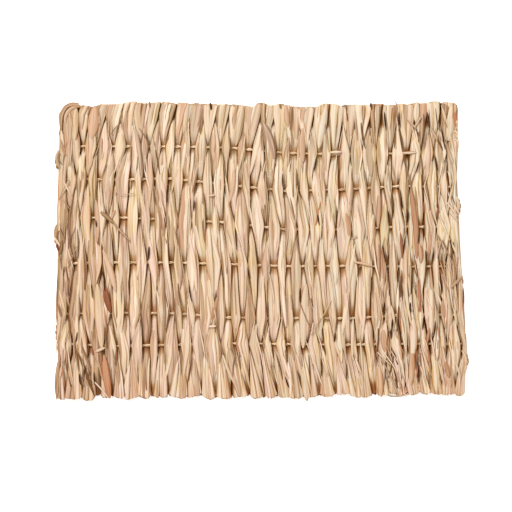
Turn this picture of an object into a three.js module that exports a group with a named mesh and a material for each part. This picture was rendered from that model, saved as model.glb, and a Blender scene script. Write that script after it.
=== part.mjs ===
// A woven grass pet mat, lying flat: bundles of dried leaf side by side, bound by one twisted grass cord.
// Millimetres, +Z up. The bundles run along Y, the cord's six rows along X. The underside lies at z = 0.
import * as THREE from 'three';
import { mergeVertices } from 'three/addons/utils/BufferGeometryUtils.js';

// Driving dimensions
const STRAND_COUNT = 57;
const CORD_RADIUS = 0.9;
const PIECE_GAP = 0.3;

// Heights of a bundle's top and bottom faces
const LEAF_FLOOR = 1.15;
const CORD_AXIS_HEIGHT = LEAF_FLOOR + PIECE_GAP + CORD_RADIUS;
const ARCH_HEIGHT = CORD_AXIS_HEIGHT + CORD_RADIUS + PIECE_GAP;
const CROWN_HEIGHT = ARCH_HEIGHT + 1.35;
const REST_HEIGHT = 4.3;
const GROOVE_HEIGHT = 1.7;
const SHOULDER_DROP = 0.3;
const OUTER_SIDE_HEIGHT = 3.2;

// How far these heights scatter from bundle to bundle
const CROWN_SCATTER = 0.2;
const REST_SCATTER = 0.3;
const TILT_SCATTER = 0.25;
const GROOVE_SCATTER = 0.35;

// Widths, as shares of one bundle's pitch
const PINCH_SHARE = 0.2;
const CROWN_SHARE = 0.3;
const SLIT_WIDTH = 0.4;
const MERGE_HALF_LENGTH = 2.2;

// The bundles' pitch is uneven, and each border drifts sideways in two slow waves
const PITCH_SCATTER = 0.13;
const DRIFT_WAVES = [
  { share: 0.22, length: 38, step: 0.61 },
  { share: 0.12, length: 17, step: 2.3 },
];

// The two long edges of the mat, from its top end to its bottom end
const SIDE_EDGES = [
  { y: 103.5, left: -138.2, right: 139.6 },
  { y: 96, left: -140.6, right: 139.8 },
  { y: 84, left: -141.6, right: 139.4 },
  { y: 52, left: -142.2, right: 138.8 },
  { y: 14, left: -143.0, right: 140.6 },
  { y: -16, left: -142.0, right: 142.6 },
  { y: -44, left: -142.6, right: 144.2 },
  { y: -74, left: -141.8, right: 146.2 },
  { y: -90, left: -142.4, right: 144.8 },
  { y: -104, left: -142.8, right: 144.4 },
];

// The cord's rows: each one's heights up the mat, evenly spread from the left edge to the right
const CORD_ROWS = [
  [73.1, 73.0, 72.9, 72.1, 68.3, 67.2, 68.0, 68.5],
  [50.4, 49.4, 50.3, 45.9, 41.5, 42.4, 44.9, 44.3],
  [22.4, 22.9, 21.3, 19.2, 14.2, 14.0, 16.4, 15.7],
  [-9.8, -9.0, -9.0, -10.3, -11.7, -11.4, -12.0, -11.5],
  [-45.3, -44.5, -44.9, -48.0, -48.3, -48.5, -46.0, -46.0],
  [-66.4, -67.9, -67.1, -66.1, -66.7, -67.1, -66.3, -66.4],
];
const ROW_INSET_SHARE = 0.006;
const TURN_STATIONS = 6;
const CORD_SIDES = 8;
const TURN_SWELL = 0.35;
const TURN_CORNER = 0.36;
const TAIL_TOP_LENGTH = 27;
const TAIL_BOTTOM_LENGTH = 15;

// The two ends: the top is folded over and even, the bottom is cut and uneven
const ENDS = {
  top: { y: 103.2, reach: 1.2, notch: 2.2, notchReach: 0.5, crown: 3.7, groove: 2.6, low: 0.5, salt: 7 },
  bottom: { y: -103.4, reach: 1.7, notch: 1.6, notchReach: 0.6, crown: 3.3, groove: 2.2, low: 0.4, salt: 11 },
};

// An even, repeatable scatter between -1 and 1
function scatter(index, salt) {
  const wave = Math.sin(index * 12.9898 + salt * 78.233) * 43758.5453;
  return 2 * (wave - Math.floor(wave)) - 1;
}

function edgesAt(y) {
  const rows = SIDE_EDGES;
  if (y >= rows[0].y) return rows[0];
  for (let i = 1; i < rows.length; i += 1) {
    const above = rows[i - 1];
    const below = rows[i];
    if (y >= below.y) {
      const share = (above.y - y) / (above.y - below.y);
      return {
        left: THREE.MathUtils.lerp(above.left, below.left, share),
        right: THREE.MathUtils.lerp(above.right, below.right, share),
      };
    }
  }
  return rows[rows.length - 1];
}

function cordHeightUpMat(row, across) {
  const place = across * (row.length - 1);
  const i = Math.min(Math.floor(place), row.length - 2);
  return THREE.MathUtils.lerp(row[i], row[i + 1], place - i);
}

function rowEnd(row, side) {
  return side === 'left' ? row[0] : row[row.length - 1];
}

// The level lines that cross every bundle, from the top end down: an end, a rest between two rows, or a row
function levelLines() {
  const lines = [];
  CORD_ROWS.forEach((row, k) => {
    const above = CORD_ROWS[k - 1];
    const restY = (across) => (above
      ? (cordHeightUpMat(above, across) + cordHeightUpMat(row, across)) / 2
      : (ENDS.top.y + cordHeightUpMat(row, across)) / 2);
    lines.push({ kind: 'rest', y: restY });
    lines.push({ kind: 'row', k, y: (across) => cordHeightUpMat(row, across) });
  });
  const last = CORD_ROWS[CORD_ROWS.length - 1];
  lines.push({ kind: 'rest', y: (across) => (ENDS.bottom.y + cordHeightUpMat(last, across)) / 2 });
  return lines;
}

const LINES = levelLines();

function liesOver(strand, k) {
  return (strand + k) % 2 === 0;
}

// The border between two bundles, as a share of the width, with a slow drift and an uneven pitch
function borderShare(border, y) {
  if (border === 0 || border === STRAND_COUNT) return border / STRAND_COUNT;
  let place = border + PITCH_SCATTER * scatter(border, 3);
  DRIFT_WAVES.forEach((wave) => {
    place += wave.share * Math.sin(y / wave.length + border * wave.step);
  });
  return place / STRAND_COUNT;
}

function placeAcross(share, y) {
  const { left, right } = edgesAt(y);
  return THREE.MathUtils.lerp(left, right, share);
}

// Collects the corner points of one closed body, each named once by a key
class Body {
  constructor() {
    this.points = [];
    this.names = new Map();
    this.faces = [];
  }

  point(name, x, y, z) {
    if (!this.names.has(name)) {
      this.names.set(name, this.points.length / 3);
      this.points.push(x, y, z);
    }
    return this.names.get(name);
  }

  // A fan of triangles over a ring of points, counter-clockwise from outside
  fan(ring) {
    for (let i = 1; i < ring.length - 1; i += 1) this.faces.push(ring[0], ring[i], ring[i + 1]);
  }

  // A strip between two chains that run the same way, whatever their lengths
  strip(leftChain, rightChain) {
    let a = 0;
    let b = 0;
    while (a < leftChain.length - 1 || b < rightChain.length - 1) {
      const aShare = (a + 1) / leftChain.length;
      const bShare = (b + 1) / rightChain.length;
      const stepLeft = b === rightChain.length - 1 || (a < leftChain.length - 1 && aShare <= bShare);
      if (stepLeft) {
        this.faces.push(leftChain[a], leftChain[a + 1], rightChain[b]);
        a += 1;
      } else {
        this.faces.push(leftChain[a], rightChain[b + 1], rightChain[b]);
        b += 1;
      }
    }
  }

  geometry() {
    const geometry = new THREE.BufferGeometry();
    geometry.setAttribute('position', new THREE.Float32BufferAttribute(this.points, 3));
    geometry.setIndex(this.faces);
    return geometry;
  }
}

// Where one bundle's end stands, and where the notch between two ends lies
function endPlace(strand, end) {
  return end.y + Math.sign(end.y) * end.reach * scatter(strand, end.salt);
}

function notchStop(border, end, name) {
  const y = end.y - Math.sign(end.y) * end.notch + end.notchReach * scatter(border, 3 * end.salt);
  return { key: `${border}${name}`, y, top: end.groove, low: end.low, x: 0 };
}

// One side of one bundle at every stop along a border: two stops at each rest, one at each row
function sideStops(border, side) {
  const across = border / STRAND_COUNT;
  const strand = side === 'right' ? border - 1 : border;
  const outer = border === 0 || border === STRAND_COUNT;
  const stops = [];
  stops.push(notchStop(border, ENDS.top, 'top'));
  LINES.forEach((line, i) => {
    const y = line.y(across);
    if (line.kind === 'rest') {
      const top = outer ? OUTER_SIDE_HEIGHT : GROOVE_HEIGHT + GROOVE_SCATTER * scatter(border, i);
      stops.push({ key: `${border}rest${i}a`, y: y + MERGE_HALF_LENGTH, top, low: 0, x: 0 });
      stops.push({ key: `${border}rest${i}b`, y: y - MERGE_HALF_LENGTH, top, low: 0, x: 0 });
      return;
    }
    const over = liesOver(strand, line.k);
    const slit = side === 'right' ? -SLIT_WIDTH / 2 : SLIT_WIDTH / 2;
    const outward = side === 'right' ? 1 : -1;
    const pinch = (over ? outward : -outward) * PINCH_SHARE;
    stops.push({
      key: outer ? `${border}row${i}` : `${border}${side}row${i}`,
      y,
      top: (over ? CROWN_HEIGHT : LEAF_FLOOR) - SHOULDER_DROP,
      low: over ? ARCH_HEIGHT : 0,
      x: outer ? 0 : slit,
      pinch: outer ? 0 : pinch,
    });
  });
  stops.push(notchStop(border, ENDS.bottom, 'bottom'));
  return stops.map((stop) => {
    const share = borderShare(border, stop.y) + (stop.pinch ?? 0) / STRAND_COUNT;
    return { ...stop, x: placeAcross(share, stop.y) + stop.x };
  });
}

// The crown of one bundle: a line of points on each side of its flat top
function crownStops(strand, side) {
  const across = (strand + 0.5) / STRAND_COUNT;
  const sideShare = side === 'left' ? CROWN_SHARE : 1 - CROWN_SHARE;
  const stops = [];
  const place = (key, y, z, widen) => {
    const leftShare = borderShare(strand, y) - widen / STRAND_COUNT;
    const rightShare = borderShare(strand + 1, y) + widen / STRAND_COUNT;
    const x = placeAcross(THREE.MathUtils.lerp(leftShare, rightShare, sideShare), y);
    stops.push({ key: `${strand}${side}crown${key}`, x, y, z });
  };
  const tilt = side === 'left' ? TILT_SCATTER : -TILT_SCATTER;
  place('top', endPlace(strand, ENDS.top), ENDS.top.crown, 0);
  LINES.forEach((line, i) => {
    const y = line.y(across);
    if (line.kind === 'rest') {
      const lean = tilt * scatter(strand, i + LINES.length);
      place(i, y, REST_HEIGHT + REST_SCATTER * scatter(strand, i) + lean, 0);
      return;
    }
    const over = liesOver(strand, line.k);
    const z = over ? CROWN_HEIGHT + CROWN_SCATTER * (1 + scatter(strand, i)) : LEAF_FLOOR;
    place(i, y, z, over ? PINCH_SHARE : -PINCH_SHARE);
  });
  place('bottom', endPlace(strand, ENDS.bottom), ENDS.bottom.crown, 0);
  return stops;
}

// The walls of the slit between two bundles, one on each bundle, from rest to rest
function addSlitWalls(body, leftTops, leftLows, rightTops, rightLows) {
  for (let i = 0; i < leftTops.length - 1; i += 1) {
    const parted = leftTops[i] !== rightTops[i] || leftTops[i + 1] !== rightTops[i + 1];
    if (parted) {
      addWall(body, leftTops, leftLows, i, false);
      addWall(body, rightTops, rightLows, i, true);
    }
  }
}

function addWall(body, tops, lows, i, facesLeft) {
  const ring = [tops[i], lows[i], lows[i + 1], tops[i + 1]];
  body.fan(facesLeft ? ring : ring.reverse());
}

function wovenStrands() {
  const body = new Body();
  const pointsOf = (stops, level) => stops.map((stop) => (
    body.point(`${stop.key}${level}`, stop.x, stop.y, level === 'top' ? stop.top : stop.low)));
  let before = null;
  for (let strand = 0; strand < STRAND_COUNT; strand += 1) {
    const left = sideStops(strand, 'left');
    const right = sideStops(strand + 1, 'right');
    const leftTops = pointsOf(left, 'top');
    const leftLows = pointsOf(left, 'low');
    const rightTops = pointsOf(right, 'top');
    const rightLows = pointsOf(right, 'low');
    const crowns = ['left', 'right'].map((side) => crownStops(strand, side).map((stop) => (
      body.point(stop.key, stop.x, stop.y, stop.z))));
    body.strip(leftTops, crowns[0]);
    body.strip(crowns[0], crowns[1]);
    body.strip(crowns[1], rightTops);
    body.strip(rightLows, leftLows);
    const last = leftTops.length - 1;
    const lastCrown = crowns[0].length - 1;
    body.fan([leftLows[0], rightLows[0], rightTops[0], crowns[1][0], crowns[0][0], leftTops[0]].reverse());
    body.fan([leftLows[last], rightLows[last], rightTops[last],
      crowns[1][lastCrown], crowns[0][lastCrown], leftTops[last]]);
    if (before) addSlitWalls(body, before.tops, before.lows, leftTops, leftLows);
    else leftTops.slice(1).forEach((_, i) => addWall(body, leftTops, leftLows, i, true));
    before = { tops: rightTops, lows: rightLows };
  }
  before.tops.slice(1).forEach((_, i) => addWall(body, before.tops, before.lows, i, false));
  return body.geometry();
}

// A route through chosen stations, so that a tube has its rings just there
class StationRoute extends THREE.Curve {
  constructor(stations) {
    super();
    this.stations = stations;
  }

  getPoint(t, target = new THREE.Vector3()) {
    const place = t * (this.stations.length - 1);
    const i = Math.min(Math.floor(place), this.stations.length - 2);
    return target.lerpVectors(this.stations[i], this.stations[i + 1], place - i);
  }

  getPointAt(u, target) {
    return this.getPoint(u, target);
  }

  getTangentAt(u, target = new THREE.Vector3()) {
    const reach = 0.5 / (this.stations.length - 1);
    const ahead = this.getPoint(Math.min(1, u + reach));
    const behind = this.getPoint(Math.max(0, u - reach));
    return target.subVectors(ahead, behind).normalize();
  }
}

// A turn outside the edge bundle, from one row's height down to the next
function turnStations(side, fromY, toY) {
  const way = side === 'right' ? 1 : -1;
  const clear = CORD_RADIUS + PIECE_GAP;
  const stations = [];
  for (let i = 0; i < TURN_STATIONS; i += 1) {
    const share = i / (TURN_STATIONS - 1);
    const inset = Math.sign(toY - fromY) * TURN_CORNER;
    const y = THREE.MathUtils.lerp(fromY + inset, toY - inset, share);
    const swell = TURN_SWELL * Math.sin(share * Math.PI);
    stations.push(new THREE.Vector3(edgesAt(y)[side] + way * (clear + swell), y, CORD_AXIS_HEIGHT));
  }
  return stations;
}

function rowStations(row, leftward) {
  const stations = [];
  for (let i = 0; i < row.length; i += 1) {
    const share = THREE.MathUtils.lerp(ROW_INSET_SHARE, 1 - ROW_INSET_SHARE, i / (row.length - 1));
    const across = leftward ? 1 - share : share;
    const y = cordHeightUpMat(row, across);
    stations.push(new THREE.Vector3(placeAcross(across, y), y, CORD_AXIS_HEIGHT));
  }
  return stations;
}

// The cord starts at the top of the right edge and runs back and forth to the bottom of the right edge
function cordStations() {
  const stations = [];
  const start = rowEnd(CORD_ROWS[0], 'right');
  stations.push(...turnStations('right', start + TAIL_TOP_LENGTH, start));
  CORD_ROWS.forEach((row, k) => {
    const leftward = k % 2 === 0;
    stations.push(...rowStations(row, leftward));
    const side = leftward ? 'left' : 'right';
    const next = CORD_ROWS[k + 1];
    const endY = next ? rowEnd(next, side) : rowEnd(row, side) - TAIL_BOTTOM_LENGTH;
    stations.push(...turnStations(side, rowEnd(row, side), endY));
  });
  return stations;
}

function roundSection(radius, sides) {
  const corners = Array.from({ length: sides }, (_, i) => {
    const angle = ((i + 0.5) / sides) * Math.PI * 2;
    return new THREE.Vector2(radius * Math.cos(angle), radius * Math.sin(angle));
  });
  return new THREE.Shape(corners);
}

function weavingCord() {
  const route = new StationRoute(cordStations());
  return new THREE.ExtrudeGeometry(roundSection(CORD_RADIUS, CORD_SIDES), {
    steps: route.stations.length - 1,
    extrudePath: route,
  });
}

function closed(geometry) {
  geometry.deleteAttribute('normal');
  geometry.deleteAttribute('uv');
  return mergeVertices(geometry, 1e-4);
}

function piece(name, geometry, material) {
  const mesh = new THREE.Mesh(closed(geometry), material);
  mesh.name = name;
  return mesh;
}

const dryLeaf = new THREE.MeshStandardMaterial({ color: 0xd6b594, roughness: 0.62, metalness: 0 });
const twistedGrass = new THREE.MeshStandardMaterial({ color: 0xdcc096, roughness: 0.7, metalness: 0 });

const mat = new THREE.Group();
mat.add(piece('woven_strands', wovenStrands(), dryLeaf));
mat.add(piece('weaving_cord', weavingCord(), twistedGrass));

// The origin is at the middle of the underside
const reach = new THREE.Box3().setFromObject(mat);
const middle = reach.getCenter(new THREE.Vector3());
mat.position.set(-middle.x, -middle.y, 0);
mat.updateMatrixWorld(true);

export default mat;
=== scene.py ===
import math
import random

import bpy
import numpy as np
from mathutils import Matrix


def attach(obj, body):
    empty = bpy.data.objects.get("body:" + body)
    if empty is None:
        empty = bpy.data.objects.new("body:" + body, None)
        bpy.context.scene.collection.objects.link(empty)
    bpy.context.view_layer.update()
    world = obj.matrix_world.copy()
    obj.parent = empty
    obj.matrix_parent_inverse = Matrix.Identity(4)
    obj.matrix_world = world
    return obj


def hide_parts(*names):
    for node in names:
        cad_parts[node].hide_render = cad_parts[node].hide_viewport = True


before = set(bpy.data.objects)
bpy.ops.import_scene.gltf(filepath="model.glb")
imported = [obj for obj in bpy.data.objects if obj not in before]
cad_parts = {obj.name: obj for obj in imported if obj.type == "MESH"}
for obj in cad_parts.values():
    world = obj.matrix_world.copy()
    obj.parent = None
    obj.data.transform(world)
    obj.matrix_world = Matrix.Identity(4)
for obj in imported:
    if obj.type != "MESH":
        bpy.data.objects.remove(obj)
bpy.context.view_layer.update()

# The mat as it is seen: from straight above, on a white table, in wide soft light.
# The camera stands over the point that the photograph has at its middle, and its frame is 361 mm wide.
MM = 0.001
PHOTO_MIDDLE = (-4.1 * MM, -4.05 * MM)
FRAME_WIDTH = 361 * MM
LENS = 85.0
SENSOR = 36.0
MAT_TOP = 4 * MM
TABLE_SIZE = 6.0
TABLE_DROP = 0.4 * MM

camera_data = bpy.data.cameras.new("overhead_camera")
camera_data.lens = LENS
camera_data.sensor_width = SENSOR
camera = bpy.data.objects.new("overhead_camera", camera_data)
camera.location = (*PHOTO_MIDDLE, MAT_TOP + FRAME_WIDTH * LENS / SENSOR)
bpy.context.scene.collection.objects.link(camera)
bpy.context.scene.camera = camera
bpy.context.scene.view_settings.view_transform = "Standard"

bpy.ops.object.select_all(action="DESELECT")
bpy.ops.mesh.primitive_plane_add(size=TABLE_SIZE, location=(0, 0, -TABLE_DROP))
table = bpy.context.object
table.name = "table_top"
table_finish = bpy.data.materials.new("white_table")
table_finish.use_nodes = True
table_shader = table_finish.node_tree.nodes["Principled BSDF"]
table_shader.inputs["Base Color"].default_value = (0.93, 0.93, 0.93, 1)
table_shader.inputs["Roughness"].default_value = 0.9
table_shader.inputs["Emission Color"].default_value = (0.88, 0.97, 1.06, 1)
table_shader.inputs["Emission Strength"].default_value = 0.46
table.data.materials.append(table_finish)

LIGHTS = (
    # name, place, size, power, colour
    ("key_panel", (-0.75, 0.95, 1.3), 1.1, 54.5, (0.96, 1.0, 1.04)),
    ("fill_panel", (0.5, -0.7, 1.8), 1.4, 8.6, (1.0, 0.9, 0.8)),
)
for light_name, light_place, light_size, light_power, light_colour in LIGHTS:
    light_data = bpy.data.lights.new(light_name, "AREA")
    light_data.shape = "SQUARE"
    light_data.size = light_size
    light_data.energy = light_power
    light_data.color = light_colour
    light = bpy.data.objects.new(light_name, light_data)
    light.location = light_place
    aim = -light.location
    light.rotation_euler = aim.to_track_quat("-Z", "Y").to_euler()
    bpy.context.scene.collection.objects.link(light)

world = bpy.data.worlds.new("studio")
world.use_nodes = True
background = world.node_tree.nodes["Background"]
background.inputs["Color"].default_value = (1.0, 0.855, 0.68, 1)
background.inputs["Strength"].default_value = 0.7
bpy.context.scene.world = world


# The weave: where each bundle of leaves lies, and where it passes over or under the cord.
# All sizes in it are millimetres, up and across the mat as it was laid out on the loom.
BUNDLES = 57
LAID_OUT_SHIFT = (-1.6255, 0.3516)
SIDE_EDGES = (
    # up the mat, left edge, right edge
    (-104, -142.8, 144.4),
    (-90, -142.4, 144.8),
    (-74, -141.8, 146.2),
    (-44, -142.6, 144.2),
    (-16, -142, 142.6),
    (14, -143, 140.6),
    (52, -142.2, 138.8),
    (84, -141.6, 139.4),
    (96, -140.6, 139.8),
    (103.5, -138.2, 139.6),
)
CORD_ROWS = (
    # heights up the mat, evenly spread from the left edge to the right
    (73.1, 73, 72.9, 72.1, 68.3, 67.2, 68, 68.5),
    (50.4, 49.4, 50.3, 45.9, 41.5, 42.4, 44.9, 44.3),
    (22.4, 22.9, 21.3, 19.2, 14.2, 14, 16.4, 15.7),
    (-9.8, -9, -9, -10.3, -11.7, -11.4, -12, -11.5),
    (-45.3, -44.5, -44.9, -48, -48.3, -48.5, -46, -46),
    (-66.4, -67.9, -67.1, -66.1, -66.7, -67.1, -66.3, -66.4),
)
PITCH_SCATTER = 0.13
DRIFT_WAVES = ((0.22, 38.0, 0.61), (0.12, 17.0, 2.3))
FOOT_REST = 31.0
HEAD_REST = 23.0
END_PHASE = 0.7
FOOT_DIVE = 0.96
HEAD_DIVE = 1.07
MAT_ENDS = (-103.4, 103.2)
PITCH = 5.03


def laid_out(places):
    """Places in the weave, in millimetres, as places in the frame, in metres."""
    return (places + np.array((*LAID_OUT_SHIFT, 0.0))) * MM


def scatter(index, salt):
    """An even, repeatable scatter between -1 and 1."""
    wave = math.sin(index * 12.9898 + salt * 78.233) * 43758.5453
    return 2 * (wave - math.floor(wave)) - 1


def row_height(row, across):
    heights = CORD_ROWS[row]
    return np.interp(across, np.linspace(0, 1, len(heights)), heights)


def edge_places(up):
    heights, lefts, rights = zip(*SIDE_EDGES)
    return np.interp(up, heights, lefts), np.interp(up, heights, rights)


def border_place(border, up):
    """Where the border between two bundles lies across the mat, at heights up it."""
    share = np.full(up.shape, border / BUNDLES)
    if 0 < border < BUNDLES:
        share += PITCH_SCATTER * scatter(border, 3) / BUNDLES
        for reach, length, step in DRIFT_WAVES:
            share += reach * np.sin(up / length + border * step) / BUNDLES
    left, right = edge_places(up)
    return left + (right - left) * share


def eased(up, knots, values, softness=1.0):
    """A wave through the values at the knots, soft and flat at each, or nearly straight between."""
    place = np.clip(np.interp(up, knots, range(len(knots))), 0, len(knots) - 1.0001)
    step = np.floor(place).astype(int)
    walk = place - step
    ease = softness * (0.5 - 0.5 * np.cos(np.pi * walk)) + (1 - softness) * walk
    values = np.array(values)
    return values[step] + (values[step + 1] - values[step]) * ease


def weave_phase(bundle, up):
    """1 where the bundle passes over the cord, -1 where it passes under, and 0 between two rows."""
    across = (bundle + 0.5) / BUNDLES
    rows = [row_height(k, across) for k in range(len(CORD_ROWS))]
    phases = [1.0 if (bundle + k) % 2 == 0 else -1.0 for k in range(len(CORD_ROWS))]
    knots = [rows[-1] - FOOT_REST, *rows[::-1], rows[0] + HEAD_REST]
    ends = [END_PHASE if phases[-1] < 0 else -FOOT_DIVE, END_PHASE if phases[0] < 0 else -HEAD_DIVE]
    return eased(up, knots, [ends[0], *phases[::-1], ends[1]])


# Where a bundle passes under, the two beside it spread over it, and the cord shows only between some.
# The places where it shows, row by row from the top, read as pixels across the photograph.
PHOTO_PIXEL = 0.705
MAT_MIDDLE_PIXEL = 259.5
CORD_SHOWS = (
    (129, 150, 163, 176, 191, 205, 220, 234, 248, 276, 296, 308, 319, 335, 407),
    (66, 98, 131, 142, 171, 185, 197, 212, 227, 240, 253, 267, 282, 312, 326, 342, 355, 369, 386, 396, 422),
    (77, 92, 125, 136, 153, 206, 219, 284, 378, 394),
    (85, 134, 145, 160, 171, 185, 205, 236, 249, 261, 274, 288, 300, 314, 329, 343, 361, 373, 401, 414,
     427, 438),
    (92, 130, 154, 172, 187, 201, 230, 297, 326, 342, 355, 370, 393, 410, 437),
    (101, 117, 146, 161, 180, 222, 260, 273, 288, 303, 321, 349, 364, 402, 418, 432),
)
SLIDE_SHARE = 0.6
OPEN_SPREAD = 0.15
CLOSED_SPREAD = 0.43
FOOT_SPREAD = 0.41
HEAD_SPREAD = 0.52
FOOT_LEAN = ((0, -0.1), (14, 0.1), (24, 1.2), (48, 1.3), (57, 0.1))
HEAD_FOLD = 7.0
LANE_SOFTNESS = 0.25


def open_crossings(row):
    """The bundles that a row of the cord shows at, and how far each has slid, in bundle widths."""
    left, right = edge_places(row_height(row, 0.5))
    first_under = (row + 1) % 2
    slides = {}
    for pixel in CORD_SHOWS[row]:
        x = (pixel - MAT_MIDDLE_PIXEL) * PHOTO_PIXEL
        place = (x - left) / (right - left) * BUNDLES - 0.5
        bundle = 2 * round((place - first_under) / 2) + first_under
        slides[bundle] = round(float(SLIDE_SHARE * (place - bundle)), 1)
    return slides


OPEN_CROSSINGS = [open_crossings(row) for row in range(len(CORD_ROWS))]


def lane_border(border, up):
    """The border as it is seen: bowed at each row toward the bundle that passes under."""
    place = border_place(border, up)
    if border in (0, BUNDLES):
        return place
    foot_side = 1 if (border + len(CORD_ROWS) - 1) % 2 == 0 else -1
    head_side = 1 if border % 2 == 0 else -1
    knots = [MAT_ENDS[0]]
    slides = [FOOT_SPREAD * foot_side + np.interp(border, *zip(*FOOT_LEAN)) + 0.1 * scatter(border, 19)]
    for k in reversed(range(len(CORD_ROWS))):
        open_here = OPEN_CROSSINGS[k]
        right_is_over = (border + k) % 2 == 0
        below = border - 1 if right_is_over else border
        spread = OPEN_SPREAD if below in open_here else CLOSED_SPREAD
        drift = np.interp(border - 0.5, [-1, *open_here, BUNDLES], [0, *open_here.values(), 0])
        knots.append(row_height(k, border / BUNDLES))
        slides.append(drift + (-spread if right_is_over else spread) + 0.07 * scatter(border, 20 + k))
    middles = [(low + high) / 2 for low, high in zip(knots[1:], knots[2:])]
    for k, middle in reversed(list(enumerate(middles))):
        knots.insert(k + 2, middle)
        slides.insert(k + 2, (slides[k + 1] + slides[k + 2]) / 2 + 0.12 * scatter(border, 30 + k))
    knots += [MAT_ENDS[1] - HEAD_FOLD - 1.5 * scatter(border, 28), MAT_ENDS[1]]
    slides += [HEAD_SPREAD * head_side + 0.1 * scatter(border, 29)] * 2
    return place + eased(up, knots, slides, LANE_SOFTNESS) * PITCH


def bundle_lane(bundle, up):
    """The bundle's middle and half width across the mat, and its phase in the weave."""
    left = lane_border(bundle, up)
    right = lane_border(bundle + 1, up)
    return (left + right) / 2, np.maximum((right - left) / 2, 0.4), weave_phase(bundle, up)


def top_height(phase):
    return 4.25 + 0.55 * np.clip(phase, 0, 1) - 2.9 * ((1 - phase) / 2) ** 8


def low_height(phase):
    return 0.3 + 3.1 * ((1 + phase) / 2) ** 3


# The leaves: flat dried grass blades, a few to a bundle, pressed together, creased and twisted a little.
# Each is a flat strip of its own, bent along its lane in the weave and given the thickness of a leaf.
BLADE_THICKNESS = 0.24
FOLD_RADIUS = 1.6
FOLD_SHARE = 0.05
FOLD_TURN = math.radians(165)
NOMINAL_LANE = 5.6
END_TILT = 1.5
TOP_ROUNDING = 0.45
FOOT_ROUNDING = 1.4
FOOT_FAN = 30.0
HEAD_FAN = 16.0
OUTER_SPLAY = 0.3
EDGE_FLOOR = -0.1
UNDER_LAP = 0.6
BORDER_HALF_WIDTH = 2.8
# Painted shade added to a leaf's tone where it turns over the fold at its head and near its foot, and how
# far in from the end it reaches.
FOLD_PAINTED_SHADE = 0.2
FOLD_SHADE_BAND = 2.4
MAP_MARGIN = 0.02
SPAN_TRIES = 12
CLEAR_OF_CORD = 4
FOLDED_LIMIT = 0.62
# Tones go from pale at 0 to dark at 0.76. Above that is painted shadow for the gaps, near black, and from
# 0.8 the red and rusty leaves.
FREE_TONES = 0.76
RED_TONES = (0.815, 0.86)
DARKEST_LEAF = 0.64
# Both ends of the mat are uneven: places across the mat, and the height of its end there.
FOOT_LINE = (
    (-143, -105.4), (-130, -105.2), (-127, -104.8), (-122, -106.4), (-118, -106), (-115, -104),
    (-104, -104.2), (-100, -104.6), (-94, -106), (-89, -104.6), (-60, -104), (-52, -104.8),
    (-46, -103), (-41, -103.4), (-35, -105.4), (-28, -104.8), (-18, -105), (-13, -103),
    (-5, -104.6), (12, -104.1), (20, -103.8), (28, -104.6), (37, -103.8), (45, -103.8), (55, -102.8),
    (62, -101.6), (66, -103.4), (72, -104), (80, -102.8), (90, -102.1), (108, -102.6), (113, -101),
    (125, -102), (130, -102.6), (134, -101.6), (138, -102.6), (143, -102.4),
)
HEAD_LINE = (
    (-141, 97), (-136, 101.5), (-132, 102.6), (-126, 101.8), (-116, 101.1), (-111, 102.8),
    (-100, 103.1), (-90, 104.9), (-80, 104), (-72, 104), (-67, 104.8), (-60, 103.8), (-48, 103.2),
    (-30, 102.8), (-24, 103.2), (-10, 101.8), (-4, 101.4), (-1, 104.2), (3, 103.6), (7, 101.2),
    (13, 102.8), (20, 102.6), (25, 101.2), (40, 100.9), (46, 102.8), (50, 103.2), (58, 101.8),
    (68, 102.6), (94, 102.6), (110, 103.7), (130, 104.4), (139, 103.2),
)
END_REACH = 14.0
# Parts of the mat with darker or paler leaves: place across, up, reach across, up, and step in tone.
TONE_PATCHES = (
    (56, 0, 24, 130, -0.2),
    (-128, 0, 20, 120, 0.2),
    (-124, -88, 24, 22, 0.1),
    (-122, 92, 22, 20, 0.12),
    (-92, 30, 14, 60, -0.12),
    (-40, 50, 50, 40, 0.1),
    (-20, -60, 16, 50, 0.08),
    (104, -36, 34, 46, -0.2),
    (128, 40, 18, 36, -0.22),
    (122, 86, 16, 14, 0.12),
    (70, -88, 80, 16, -0.12),
)


def flat_strip(cells, stations):
    bpy.ops.object.select_all(action="DESELECT")
    bpy.ops.mesh.primitive_grid_add(x_subdivisions=cells, y_subdivisions=stations, size=1)
    return bpy.context.object


def points_of(piece):
    flat = np.empty(len(piece.data.vertices) * 3)
    piece.data.vertices.foreach_get("co", flat)
    return flat.reshape(-1, 3)


def corners_of(strip):
    """How far across and along the flat strip each of its corners lies, from 0 to 1."""
    flat = points_of(strip)
    return flat[:, 0] + 0.5, flat[:, 1] + 0.5


def set_amounts(piece, name, values):
    """Give each point of a piece a number that its material can read."""
    layer = piece.data.attributes.new(name, "FLOAT", "POINT")
    layer.data.foreach_set("value", np.broadcast_to(values, len(layer.data)).astype(np.float32))


def select_only(pieces):
    bpy.ops.object.select_all(action="DESELECT")
    for piece in pieces:
        piece.select_set(True)
    bpy.context.view_layer.objects.active = pieces[0]


def line_height(line, x):
    return np.interp(x, *zip(*line))


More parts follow.
